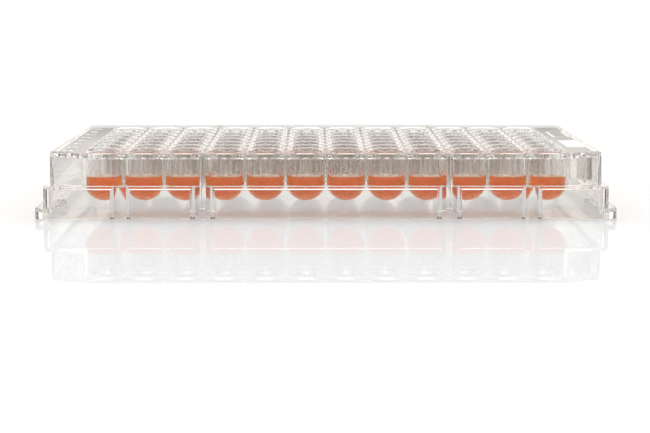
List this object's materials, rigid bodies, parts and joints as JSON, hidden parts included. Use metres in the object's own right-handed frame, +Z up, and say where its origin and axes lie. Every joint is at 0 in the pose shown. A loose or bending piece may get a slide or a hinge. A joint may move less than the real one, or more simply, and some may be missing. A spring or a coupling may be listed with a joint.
{
  "type": "well plate",
  "caption": "Clear round-bottom well plate with skirt, lid ledge and cut front corners, its front row filled with an orange liquid.",
  "frame": {"origin": "centre of the footprint, on the plane that the plate rests on", "axes": "+X along the columns from 1 to 12, +Y from row H at the front to row A at the back, +Z up out of the wells"},
  "size_m": [0.1278, 0.0854, 0.0143],
  "materials": {
    "clear_plastic": "clear moulded polystyrene, polished, with a frosted label panel",
    "sample_liquid": "clear orange-red water-based liquid"
  },
  "bodies": {
    "root": {"plate": "clear_plastic", "sample_h1": "sample_liquid", "sample_h2": "sample_liquid", "sample_h3": "sample_liquid", "sample_h4": "sample_liquid", "sample_h5": "sample_liquid", "sample_h6": "sample_liquid", "sample_h7": "sample_liquid", "sample_h8": "sample_liquid", "sample_h9": "sample_liquid", "sample_h10": "sample_liquid", "sample_h11": "sample_liquid", "sample_h12": "sample_liquid"}
  },
  "joints": []
}
